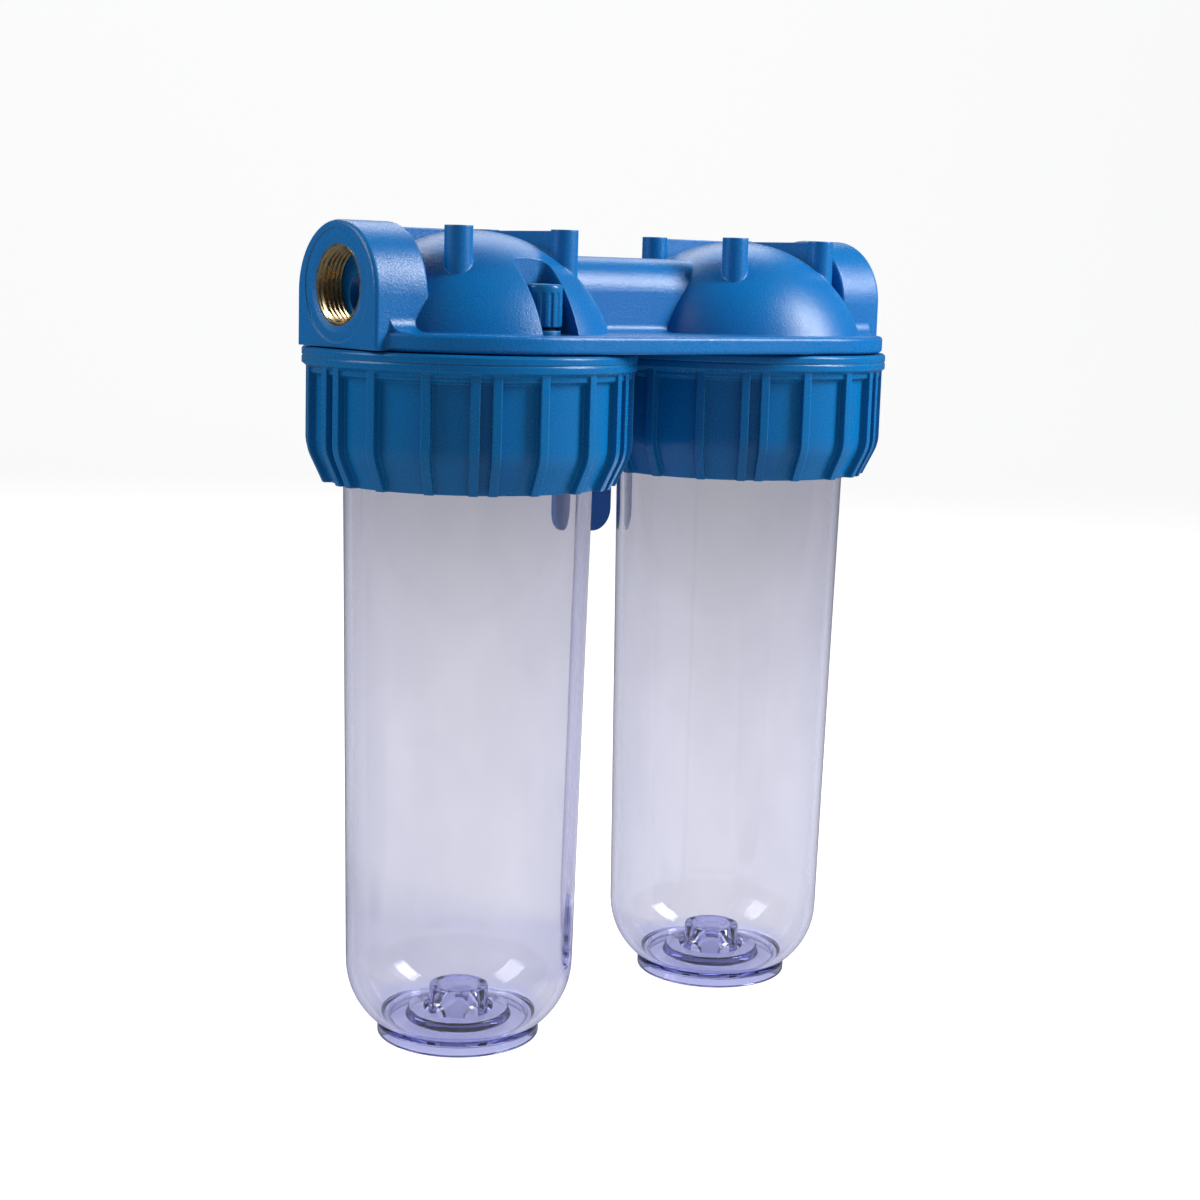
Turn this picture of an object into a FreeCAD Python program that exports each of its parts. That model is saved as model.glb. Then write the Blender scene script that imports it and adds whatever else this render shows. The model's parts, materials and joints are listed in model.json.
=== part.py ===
"""Duplex cartridge filter housing: one head with two domes, two ring nuts and two clear bowls.

Millimetres. The origin is the centre of the inlet port's mouth, +X runs through the head to the
outlet, +Z is up and -Y is the front. Every driving dimension is a cell of the sheet "dim".
"""
import FreeCAD, Part
import math
import os
import Sketcher

X = FreeCAD.Vector(1, 0, 0)
Y = FreeCAD.Vector(0, 1, 0)
Z = FreeCAD.Vector(0, 0, 1)

DIMENSIONS = {
    # overall layout
    "left_axis": 58.35,
    "axis_spacing": 131.8,
    # flange and skirts of the head
    "flange_radius": 59.5,
    "flange_top": -15.1,
    "flange_bottom": -21.45,
    "flange_round": 1.4,
    "skirt_outer": 52.6,
    "skirt_inner": 49.8,
    "skirt_bottom": -45.4,
    "skirt_bore_top": -26.0,
    # domes
    "dome_radius": 53.2,
    "dome_centre": -32.4,
    "dome_wall": 4.5,
    # port blocks and linking pipe
    "block_radius": 24.8,
    "block_centre": -2.4,
    "block_length": 21.9,
    "block_round": 1.5,
    "block_flare": 5.0,
    "dish_radius": 19.8,
    "dish_step": 0.4,
    "dish_slope_radius": 16.4,
    "pipe_radius": 12.8,
    "pipe_bore": 9.5,
    "pipe_flare": 2.8,
    "pipe_reach": 24.0,
    "passage_radius": 8.0,
    "passage_height": -3.0,
    # cartridge seat inside each dome
    "seat_plane": -21.0,
    "seat_radius": 19.0,
    "seat_thickness": 2.5,
    "spigot_radius": 13.4,
    "spigot_bottom": -29.0,
    "duct_radius": 12.5,
    "outlet_duct_radius": 11.0,
    "duct_reach": 40.0,
    # screw bosses on the domes and the walls between them
    "boss_offset": 23.5,
    "boss_radius": 5.0,
    "boss_top": 21.6,
    "boss_foot": 2.0,
    "boss_hole": 2.1,
    "boss_hole_depth": 13.0,
    "wall_thickness": 4.6,
    "wall_drop": 0.4,
    # bleed screw and its niche
    "vent_x": 2.0,
    "vent_y": -39.2,
    "niche_half": 8.2,
    "niche_back": -30.2,
    "niche_corner": 4.0,
    "niche_top": 11.6,
    "niche_wall": 3.2,
    "vent_collar_radius": 6.4,
    "vent_collar_top": -13.7,
    "vent_hole": 3.3,
    "knob_radius": 6.7,
    "knob_bottom": -12.5,
    "knob_top": 2.4,
    "knob_round": 1.3,
    "flute_radius": 1.0,
    "flute_top": -0.6,
    "vent_root": 2.5,
    "vent_crest": 3.05,
    "vent_pitch": 1.5,
    "vent_tip": -25.4,
    "vent_ring_mid": 4.3,
    "vent_ring_section": 0.58,
    # threads between head and ring nut
    "thread_pitch": 6.0,
    "thread_start": -43.5,
    "thread_rise": 15.0,
    "thread_crest": 54.2,
    "thread_root_width": 3.0,
    "thread_crest_width": 2.0,
    "thread_bite": 0.4,
    # ring nuts
    "nut_top": -22.0,
    "nut_bottom": -70.3,
    "nut_bore": 54.6,
    "nut_thread_crest": 53.0,
    "nut_thread_rise": 12.0,
    "nut_rim_bore": 52.6,
    "nut_rim_top": -45.6,
    "nut_shoulder": -52.1,
    "nut_mouth": 46.6,
    "collar_radius": 61.0,
    "collar_lip": 60.2,
    "collar_groove": 60.55,
    "collar_groove_z": -25.2,
    "collar_groove_half": 0.4,
    "collar_low_z": -27.8,
    "collar_end": -28.7,
    "collar_end_radius": 59.8,
    "ledge_radius": 58.9,
    "ledge_bottom": -30.8,
    "panel_top": -31.9,
    "panel_depth": 2.9,
    "rib_radius": 59.9,
    "bend_start": -54.6,
    "bend_end": -61.0,
    "bend_inset": 1.45,
    "bend_curve": 15.0,
    "rib_end_radius": 54.0,
    "rib_width": 3.2,
    "rib_inside": 55.6,
    # bowls
    "rim_radius": 52.2,
    "rim_top": -46.0,
    "rim_bottom": -52.0,
    "plug_radius": 49.5,
    "plug_top": -30.0,
    "plug_chamfer": 1.2,
    "gland_floor": 46.7,
    "gland_top": -36.2,
    "gland_bottom": -39.8,
    "seal_section": 1.53,
    "bowl_neck": 46.0,
    "bowl_belly": 42.84,
    "belly_z": -257.0,
    "shoulder_radius": 33.4,
    "shoulder_z": -273.2,
    "shoulder_curve": 19.1,
    "bowl_mouth": 43.4,
    "bowl_inside_low": 39.74,
    "inside_shoulder": 29.4,
    "inside_curve": 18.3,
    "bowl_floor": -274.4,
    "bowl_underside": -277.4,
    "foot_radius": 30.7,
    "foot_inner": 27.4,
    "foot_neck_z": -274.6,
    "foot_bottom": -280.8,
    "foot_chamfer": 0.9,
    "base_ring_radius": 19.8,
    "base_ring_inner": 12.6,
    "base_ring_top": -271.4,
    "cup_radius": 10.9,
    "cup_bore": 8.3,
    "cup_top": -262.4,
    "cup_arch": 3.6,
    # brass port inserts, G3/4
    "insert_face": 1.0,
    "insert_nose": 14.1,
    "insert_body": 17.0,
    "insert_body_start": 3.0,
    "insert_end": 11.0,
    "insert_hex_start": 3.6,
    "insert_hex_length": 3.8,
    "insert_hex_radius": 18.4,
    "insert_gland_mid": 9.2,
    "insert_gland_width": 2.2,
    "insert_gland_floor": 15.0,
    "insert_ring_section": 0.98,
    "port_minor": 12.06,
    "port_mouth": 13.22,
    "port_chamfer": 0.9,
    # wall bracket and its fasteners
    "screw_spread": 12.0,
    "screw_y": 42.0,
    "bracket_thickness": 5.0,
    "foot_half_width": 24.0,
    "foot_front": 31.0,
    "wall_y": 74.0,
    "bar_half_width": 64.0,
    "bar_top": 11.0,
    "bar_bottom": -20.0,
    "bar_corner": 8.0,
    "gusset_spread": 20.5,
    "gusset_height": 20.0,
    "slot_spread": 46.0,
    "slot_height": -2.0,
    "slot_radius": 2.8,
    "slot_length": 14.0,
    "tail_x": 52.5,
    "tail_radius": 9.5,
    "tail_centre": -93.5,
    "tail_hole_z": -52.0,
    "tail_hole": 4.0,
    "clearance_hole": 2.75,
    "washer_radius": 5.5,
    "washer_thickness": 1.2,
    "screw_head_radius": 4.6,
    "screw_head_height": 3.4,
    "screw_head_round": 1.2,
    "screw_shank": 2.05,
    "screw_length": 14.0,
    "screw_socket": 1.7,
    "screw_socket_depth": 2.0,
    "stud_insert_radius": 3.6,
    "stud_insert_bore": 2.1,
    "stud_insert_depth": 10.0,
    "stud_boss_radius": 6.4,
    "stud_boss_bottom": -31.0,
}

RIB_ANGLES = (-3.6, 3.6, 20.0, 40.0)
RIB_PERIODS = 6
LEFT_NUT_TURN = -1.0
RIGHT_NUT_TURN = -5.0
KNOB_FLUTES = 14

doc = FreeCAD.newDocument("filter_housing")
nodes = {}


# ---------------------------------------------------------------- document helpers

def make_sheet():
    sheet = doc.addObject("Spreadsheet::Sheet", "dim")
    for row, (name, value) in enumerate(DIMENSIONS.items(), start=1):
        sheet.set(f"A{row}", name)
        sheet.set(f"B{row}", str(value))
        sheet.setAlias(f"B{row}", name)
    doc.recompute()
    return sheet


sheet = make_sheet()


def size(name):
    """The value of one cell of the sheet."""
    return float(getattr(sheet, name))


def bind(thing, **expressions):
    """Bind properties to expressions; a plain number is set as it is."""
    for prop, expression in expressions.items():
        if isinstance(expression, str):
            thing.setExpression(prop, expression)
        else:
            setattr(thing, prop, expression)


def place(thing, x=0.0, y=0.0, z=0.0, rotation=None):
    """Put a thing at a position given by numbers or expressions, turned by a Rotation."""
    thing.Placement = FreeCAD.Placement(FreeCAD.Vector(), rotation or FreeCAD.Rotation())
    for letter, value in (("x", x), ("y", y), ("z", z)):
        thing.setExpression(f"Placement.Base.{letter}", str(value))
    return thing


def cylinder(name, radius, height, x=0.0, y=0.0, z=0.0, along=Z):
    thing = doc.addObject("Part::Cylinder", name)
    bind(thing, Radius=radius, Height=height)
    return place(thing, x, y, z, FreeCAD.Rotation(Z, along))


def cone(name, radius, far_radius, height, x=0.0, y=0.0, z=0.0, along=Z):
    thing = doc.addObject("Part::Cone", name)
    bind(thing, Radius1=radius, Radius2=far_radius, Height=height)
    return place(thing, x, y, z, FreeCAD.Rotation(Z, along))


def box(name, length, width, height, x=0.0, y=0.0, z=0.0):
    thing = doc.addObject("Part::Box", name)
    bind(thing, Length=length, Width=width, Height=height)
    return place(thing, x, y, z)


def fuse(name, things):
    thing = doc.addObject("Part::MultiFuse", name)
    thing.Shapes = things
    thing.Refine = True
    return thing


def cut(name, base, tool):
    thing = doc.addObject("Part::Cut", name)
    thing.Base = base
    thing.Tool = tool
    thing.Refine = True
    return thing


def common(name, first, second):
    thing = doc.addObject("Part::MultiCommon", name)
    thing.Shapes = [first, second]
    return thing


def round_edges(name, base, radius, wanted):
    """Fillet the edges of a Part object that the test picks out."""
    doc.recompute()
    picked = [i for i, edge in enumerate(base.Shape.Edges, start=1) if wanted(edge)]
    thing = doc.addObject("Part::Fillet", name)
    thing.Base = base
    thing.Edges = [(i, radius, radius) for i in picked]
    return thing


def flat_at(edge, letter, value):
    """Whether a whole edge lies in the plane where this coordinate has this value."""
    limits = edge.BoundBox
    low, high = (getattr(limits, letter + "Min"), getattr(limits, letter + "Max"))
    return abs(low - value) < 0.01 and abs(high - value) < 0.01


def outline(sketch, corners, arcs=None):
    """Draw a closed outline whose corners are pairs of expressions.

    arcs gives, for the side that leaves a corner, its radius expression and +1 or -1 for the side
    of the chord on which the arc bulges (+1 is left of the direction of travel).
    """
    arcs = arcs or {}
    points = [FreeCAD.Vector(*(float(sketch.evalExpression(e)) for e in corner)) for corner in corners]
    count = len(points)
    for i, start in enumerate(points):
        end = points[(i + 1) % count]
        if i in arcs:
            radius = float(sketch.evalExpression(arcs[i][0]))
            chord = end - start
            sagitta = radius - math.sqrt(radius ** 2 - (chord.Length / 2) ** 2)
            side = FreeCAD.Vector(-chord.y, chord.x, 0).normalize() * sagitta * arcs[i][1]
            sketch.addGeometry(Part.Arc(start, (start + end) / 2 + side, end), False)
        else:
            sketch.addGeometry(Part.LineSegment(start, end), False)
    ends = [side_ends(sketch, i, points[i]) for i in range(count)]
    limits = []
    bound = []
    for i in range(count):
        following = (i + 1) % count
        limits.append(Sketcher.Constraint("Coincident", i, ends[i][1], following, ends[following][0]))
    for i, (corner, point) in enumerate(zip(corners, points)):
        bound.append((len(limits), corner[0]))
        limits.append(Sketcher.Constraint("DistanceX", -1, 1, i, ends[i][0], point.x))
        bound.append((len(limits), corner[1]))
        limits.append(Sketcher.Constraint("DistanceY", -1, 1, i, ends[i][0], point.y))
    for i, (radius, _) in arcs.items():
        bound.append((len(limits), radius))
        limits.append(Sketcher.Constraint("Radius", i, float(sketch.evalExpression(radius))))
    sketch.addConstraint(limits)
    for index, expression in bound:
        sketch.setExpression(f"Constraints[{index}]", expression)


def side_ends(sketch, side, start):
    """The point numbers, 1 or 2, of a side's start and end: an arc's run anticlockwise."""
    return (1, 2) if (sketch.getPoint(side, 1) - start).Length < 1e-6 else (2, 1)


def origin_feature(body, role):
    """One of the body's own origin planes or axes."""
    return next(feature for feature in body.Origin.OriginFeatures if feature.Role == role)


def body_sketch(body, name, role, turn=0.0):
    """A sketch on one of the body's origin planes, turned about the body's vertical axis."""
    sketch = body.newObject("Sketcher::SketchObject", name)
    sketch.AttachmentSupport = [(origin_feature(body, role), "")]
    sketch.MapMode = "FlatFace"
    if turn:
        sketch.AttachmentOffset = FreeCAD.Placement(FreeCAD.Vector(), FreeCAD.Rotation(Y, turn))
    return sketch


def revolve(body, name, sketch):
    feature = body.newObject("PartDesign::Revolution", name)
    feature.Profile = sketch
    feature.ReferenceAxis = (origin_feature(body, "Z_Axis"), [""])
    feature.Angle = 360.0
    sketch.Visibility = False
    return feature


def polar_pattern(body, name, originals, count):
    feature = body.newObject("PartDesign::PolarPattern", name)
    feature.Originals = originals
    feature.Axis = (origin_feature(body, "Z_Axis"), [""])
    feature.Angle = 360.0
    feature.Occurrences = count
    body.Tip = feature
    return feature


def keep(label, thing):
    """Name a finished piece; its label is also the name of its file."""
    thing.Label = label
    nodes[label] = thing
    return thing


# ---------------------------------------------------------------- shared positions

AXES = {"left": "dim.left_axis", "right": "dim.left_axis + dim.axis_spacing"}
FAR_FACE = "2 * dim.left_axis + dim.axis_spacing"
MIDDLE = "dim.left_axis + dim.axis_spacing / 2"


# ---------------------------------------------------------------- head

def stadium(name, radius, bottom, height):
    """An upright slab with round ends about the two housing axes."""
    ends = [
        cylinder(f"{name}_{side}", radius, height, axis, 0, bottom)
        for side, axis in AXES.items()
    ]
    between = box(
        f"{name}_between", "dim.axis_spacing", f"2 * ({radius})", height,
        AXES["left"], f"-({radius})", bottom,
    )
    return fuse(name, ends + [between])


def flange():
    """The round-edged flange that covers both ring nuts, cut flush with the port faces."""
    slab = stadium(
        "flange_slab", "dim.flange_radius", "dim.flange_bottom", "dim.flange_top - dim.flange_bottom",
    )

    def outer_edge(edge):
        level = flat_at(edge, "Z", size("flange_top")) or flat_at(edge, "Z", size("flange_bottom"))
        return level and edge.BoundBox.XLength > 1
    plate = round_edges("flange_plate", slab, size("flange_round"), outer_edge)
    limits = box(
        "flange_limits", FAR_FACE, "3 * dim.flange_radius", "4 * dim.flange_radius",
        0, "-1.5 * dim.flange_radius", "-2 * dim.flange_radius",
    )
    return common("flange", plate, limits)


def arch_bar(name, start, length, radius, centre):
    """A bar along X with a round crown and flat sides down to the flange's underside."""
    round_bar = cylinder(f"{name}_round", radius, length, start, 0, centre, X)
    above = box(
        f"{name}_above", length, f"2 * {radius} + 2", f"{centre} + {radius} + 1 - dim.flange_bottom",
        start, f"-{radius} - 1", "dim.flange_bottom",
    )
    sides = box(
        f"{name}_sides", length, f"2 * {radius}", f"{centre} - dim.flange_bottom",
        start, f"-{radius}", "dim.flange_bottom",
    )
    return fuse(f"{name}_bar", [common(f"{name}_crown", round_bar, above), sides])


def flares(name, start, length, half_width, radius):
    """Hollow fillets along both feet of an arch bar, held inside the flange's outline."""
    base = box(
        f"{name}_flare_base", length, f"2 * ({half_width} + {radius})", radius,
        start, f"-({half_width} + {radius})", "dim.flange_top",
    )
    scoops = [
        cylinder(
            f"{name}_scoop_{label}", radius, length, start,
            f"{sign} * ({half_width} + {radius})", f"dim.flange_top + {radius}", X,
        )
        for label, sign in (("front", -1), ("back", 1))
    ]
    hollowed = cut(f"{name}_flare_hollowed", base, fuse(f"{name}_scoops", scoops))
    footprint = stadium(
        f"{name}_footprint", "dim.flange_radius - dim.flange_round", "dim.flange_bottom", "dim.boss_top",
    )
    return common(f"{name}_flares", hollowed, footprint)


def port_block(side, start, outer_x, inner_x):
    """One port block, with the arched edge of its outer and inner face rounded."""
    name = f"{side}_block"
    bar = arch_bar(name, start, "dim.block_length", "dim.block_radius", "dim.block_centre")

    def arched_edge(edge):
        at_end = flat_at(edge, "X", outer_x) or flat_at(edge, "X", inner_x)
        return at_end and edge.BoundBox.ZMax > size("flange_bottom") + 1
    rounded = round_edges(f"{name}_rounded", bar, size("block_round"), arched_edge)
    return [rounded, flares(name, start, "dim.block_length", "dim.block_radius", "dim.block_flare")]


def linking_pipe():
    """The bar between the domes: it ends under their crowns, where the hollows trim it."""
    start = f"{AXES['left']} + dim.pipe_reach"
    length = "dim.axis_spacing - 2 * dim.pipe_reach"
    bar = arch_bar("pipe", start, length, "dim.pipe_radius", "0")
    return [bar, flares("pipe", start, length, "dim.pipe_radius", "dim.pipe_flare")]


def dome(name, axis, radius, bottom):
    """A spherical cap about a housing axis, from the height called bottom up to its crown."""
    thing = doc.addObject("Part::Sphere", name)
    bind(thing, Radius=radius, Angle1=f"asin(({bottom} - dim.dome_centre) / ({radius}))")
    return place(thing, axis, 0, "dim.dome_centre")


def boss_places(side):
    for row, y_sign in (("front", -1), ("rear", 1)):
        for column, x_sign in (("outer", -1), ("inner", 1)):
            x = f"{AXES[side]} + {x_sign} * dim.boss_offset"
            yield f"{side}_{row}_{column}", x, f"{y_sign} * dim.boss_offset"


def screw_bosses(side):
    """Four bosses on a dome, and the two walls that join three of them."""
    bosses = [
        cylinder(f"boss_{name}", "dim.boss_radius", "dim.boss_top - dim.boss_foot", x, y, "dim.boss_foot")
        for name, x, y in boss_places(side)
    ]
    half = "dim.wall_thickness / 2"
    low, high = "dim.boss_foot", "dim.boss_top - dim.wall_drop - dim.boss_foot"
    rear = box(
        f"{side}_rear_wall", "2 * dim.boss_offset", "dim.wall_thickness", high,
        f"{AXES[side]} - dim.boss_offset", f"dim.boss_offset - {half}", low,
    )
    cross = box(
        f"{side}_cross_wall", "dim.wall_thickness", "2 * dim.boss_offset", high,
        f"{AXES[side]} + dim.boss_offset - {half}", "-dim.boss_offset", low,
    )
    return bosses + [rear, cross]


def skirt(side):
    """The threaded skirt under the flange that the ring nut screws onto."""
    tube = cylinder(
        f"{side}_skirt", "dim.skirt_outer", "dim.flange_bottom + 1 - dim.skirt_bottom",
        AXES[side], 0, "dim.skirt_bottom",
    )
    return [tube, skirt_thread(side)]


def skirt_thread(side):
    """A right-hand trapezoidal ridge that winds up the skirt, and bites a little into it."""
    path = doc.addObject("Part::Helix", f"{side}_thread_path")
    bind(path, Pitch="dim.thread_pitch", Height="dim.thread_rise", Radius="dim.skirt_outer")
    place(path, AXES[side], 0, "dim.thread_start")
    profile = doc.addObject("Sketcher::SketchObject", f"{side}_thread_profile")
    inner = "dim.skirt_outer - dim.thread_bite"
    outline(profile, [
        (inner, "-dim.thread_root_width / 2"),
        ("dim.thread_crest", "-dim.thread_crest_width / 2"),
        ("dim.thread_crest", "dim.thread_crest_width / 2"),
        (inner, "dim.thread_root_width / 2"),
    ])
    place(profile, AXES[side], 0, "dim.thread_start", FreeCAD.Rotation(X, 90))
    doc.recompute()
    ridge = doc.addObject("Part::Sweep", f"{side}_skirt_ridge")
    ridge.Sections = [profile]
    ridge.Spine = (path, [f"Edge{i + 1}" for i in range(len(path.Shape.Edges))])
    ridge.Solid = True
    ridge.Frenet = True
    return ridge


def cavity(side):
    """The hollow of one dome and the bore of its skirt."""
    hollow = dome(f"{side}_hollow", AXES[side], "dim.dome_radius - dim.dome_wall", "dim.skirt_bore_top - 0.5")
    if side == "left":
        hollow = cut("left_hollow_past_niche", hollow, niche("niche_shell", "dim.niche_wall"))
    bore = cylinder(
        f"{side}_skirt_bore", "dim.skirt_inner", "dim.skirt_bore_top - dim.skirt_bottom + 1",
        AXES[side], 0, "dim.skirt_bottom - 1",
    )
    return fuse(f"{side}_cavity", [hollow, bore])


def niche(name, extra):
    """The upright recess around the bleed screw, open to the front, grown by extra on its walls."""
    x = f"{AXES['left']} + dim.vent_x"
    half, corner = f"(dim.niche_half + {extra})", f"(dim.niche_corner + {extra})"
    back = f"(dim.niche_back + {extra})"
    height = f"dim.niche_top + {extra} - dim.flange_top"
    corners = [
        cylinder(
            f"{name}_corner_{label}", corner, height,
            f"{x} + {sign} * ({half} - {corner})", f"{back} - {corner}", "dim.flange_top",
        )
        for label, sign in (("left", -1), ("right", 1))
    ]
    between = box(
        f"{name}_between", f"2 * ({half} - {corner})", "dim.flange_radius", height,
        f"{x} - {half} + {corner}", f"{back} - dim.flange_radius", "dim.flange_top",
    )
    front = box(
        f"{name}_front", f"2 * {half}", "dim.flange_radius", height,
        f"{x} - {half}", f"{back} - {corner} - dim.flange_radius", "dim.flange_top",
    )
    return fuse(name, corners + [between, front])


def seat(side, duct_radius, duct_height):
    """The spigot and seat for a cartridge, and the duct from it to the dome's wall."""
    axis = AXES[side]
    spigot = cylinder(
        f"{side}_spigot", "dim.spigot_radius", f"{duct_height} - dim.spigot_bottom",
        axis, 0, "dim.spigot_bottom",
    )
    ring = cylinder(
        f"{side}_seat", "dim.seat_radius", "dim.seat_thickness", axis, 0, "dim.seat_plane",
    )
    duct = cylinder(
        f"{side}_duct", duct_radius, f"dim.duct_reach + {duct_radius}",
        f"{axis} - {duct_radius}", 0, duct_height, X,
    )
    return [spigot, ring, duct]


def flow_bores():
    """Spigot bores, the link between the domes, and the passages behind the two port inserts."""
    bores = [
        cylinder(
            f"{side}_spigot_bore", "dim.pipe_bore", "-dim.spigot_bottom + 1",
            AXES[side], 0, "dim.spigot_bottom - 1",
        )
        for side in AXES
    ]
    link = cylinder(
        "link_bore", "dim.pipe_bore", "dim.axis_spacing - dim.duct_reach / 2", AXES["left"], 0, 0, X,
    )
    inlet = cylinder(
        "inlet_passage", "dim.passage_radius", "dim.block_length",
        "dim.insert_end - 1", 0, "dim.passage_height", X,
    )
    outlet = cylinder(
        "outlet_passage", "dim.passage_radius", "dim.left_axis - dim.insert_end + 1",
        AXES["right"], 0, "dim.passage_height", X,
    )
    return bores + [link, inlet, outlet]


def head_holes():
    """Screw holes in the bosses, the bleed hole, and the pockets for the bracket's brass inserts."""
    holes = [
        cylinder(
            f"hole_{name}", "dim.boss_hole", "dim.boss_hole_depth + 1",
            x, y, "dim.boss_top - dim.boss_hole_depth",
        )
        for side in AXES for name, x, y in boss_places(side)
    ]
    holes.append(cylinder(
        "bleed_hole", "dim.vent_hole", "dim.vent_collar_top - dim.skirt_bore_top + 2",
        f"{AXES['left']} + dim.vent_x", "dim.vent_y", "dim.skirt_bore_top - 1",
    ))
    for name, x in stud_places():
        holes.append(cylinder(
            f"stud_pocket_{name}", "dim.stud_insert_radius", "dim.stud_insert_depth + 1",
            x, "dim.screw_y", "dim.flange_top - dim.stud_insert_depth",
        ))
    return holes


def stud_places():
    return [("left", f"{MIDDLE} - dim.screw_spread"), ("right", f"{MIDDLE} + dim.screw_spread")]


def make_head():
    ends = {"left": (0, 0.0, size("block_length"))}
    far = 2 * size("left_axis") + size("axis_spacing")
    ends["right"] = (f"{FAR_FACE} - dim.block_length", far, far - size("block_length"))
    solids = [flange()]
    for side in AXES:
        solids.append(dome(f"{side}_dome", AXES[side], "dim.dome_radius", "dim.flange_bottom + 1"))
        solids += port_block(side, *ends[side])
        solids += screw_bosses(side)
    solids += linking_pipe()
    for name, x in stud_places():
        solids.append(cylinder(
            f"stud_boss_{name}", "dim.stud_boss_radius", "dim.flange_top - 1 - dim.stud_boss_bottom",
            x, "dim.screw_y", "dim.stud_boss_bottom",
        ))
    shell = fuse("head_outside", solids)
    shell = cut("head_with_niche", shell, niche("niche_hollow", "0"))
    collar = cylinder(
        "vent_collar", "dim.vent_collar_radius", "dim.vent_collar_top - dim.flange_top + 1",
        f"{AXES['left']} + dim.vent_x", "dim.vent_y", "dim.flange_top - 1",
    )
    shell = fuse("head_and_skirts", [shell, collar] + skirt("left") + skirt("right"))
    shell = cut("head_hollowed", shell, fuse("cavities", [cavity("left"), cavity("right")]))
    seats = seat("left", "dim.duct_radius", "0")
    seats += seat("right", "dim.outlet_duct_radius", "dim.passage_height")
    shell = fuse("head_with_seats", [shell] + seats)
    tools = flow_bores() + head_holes() + port_pockets()
    keep("head", cut("head", shell, fuse("head_tools", tools)))


# ---------------------------------------------------------------- brass port inserts

def insert_envelope(name, face, sign):
    """The outside of a port insert: nose, body with a seal gland, and a six-sided anchor."""
    way = X * sign

    def part(label, kind_radius, start, length):
        return cylinder(f"{name}_{label}", kind_radius, length, f"{face} + {sign} * ({start})", 0, 0, way)
    nose = part("nose", "dim.insert_nose", "dim.insert_face", "dim.insert_body_start")
    body = part("body", "dim.insert_body", "dim.insert_body_start", "dim.insert_end - dim.insert_body_start")
    anchor = doc.addObject("Part::Prism", f"{name}_anchor")
    anchor.Polygon = 6
    bind(anchor, Circumradius="dim.insert_hex_radius", Height="dim.insert_hex_length")
    place(anchor, f"{face} + {sign} * dim.insert_hex_start", 0, 0, FreeCAD.Rotation(Z, way))
    return fuse(f"{name}_envelope", [nose, body, anchor])


def port_pockets():
    """The room in the head for both inserts, and the stepped dish around each mouth."""
    pockets = []
    for name, face, sign in PORTS:
        pockets.append(insert_envelope(f"{name}_pocket", face, sign))
        pockets.append(cylinder(
            f"{name}_step", "dim.dish_radius", "dim.dish_step + 1", f"{face} - {sign}", 0, 0, X * sign,
        ))
        pockets.append(cone(
            f"{name}_dish", "dim.dish_slope_radius", "dim.insert_nose", "dim.insert_face - dim.dish_step",
            f"{face} + {sign} * dim.dish_step", 0, 0, X * sign,
        ))
    return pockets


PORTS = (("left_port", "0", 1), ("right_port", FAR_FACE, -1))


def make_port_insert(name, face, sign):
    """A brass insert: its envelope less the gland, the bore and the entry chamfer."""
    way = X * sign
    envelope = insert_envelope(f"{name}_insert", face, sign)
    bore = cylinder(
        f"{name}_bore", "dim.port_minor", "dim.insert_end + 2", f"{face} - {sign}", 0, 0, way,
    )
    entry = cone(
        f"{name}_entry", "dim.port_mouth", "dim.port_minor", "dim.port_chamfer",
        f"{face} + {sign} * dim.insert_face", 0, 0, way,
    )
    gland_floor = cylinder(
        f"{name}_gland_floor", "dim.insert_gland_floor", "dim.insert_gland_width",
        f"{face} + {sign} * (dim.insert_gland_mid - dim.insert_gland_width / 2)", 0, 0, way,
    )
    gland_block = cylinder(
        f"{name}_gland_block", "dim.insert_body + 1", "dim.insert_gland_width",
        f"{face} + {sign} * (dim.insert_gland_mid - dim.insert_gland_width / 2)", 0, 0, way,
    )
    gland = cut(f"{name}_gland", gland_block, gland_floor)
    tools = fuse(f"{name}_insert_tools", [bore, entry, gland])
    keep(f"{name}_insert", cut(f"{name}_insert_body", envelope, tools))


def make_port_seal(name, face, sign):
    ring = doc.addObject("Part::Torus", f"{name}_ring")
    bind(ring, Radius1="dim.insert_body - dim.insert_ring_section - 0.02", Radius2="dim.insert_ring_section")
    place(ring, f"{face} + {sign} * dim.insert_gland_mid", 0, 0, FreeCAD.Rotation(Z, X))
    keep(f"{name}_seal", ring)


# ---------------------------------------------------------------- ring nuts

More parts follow.
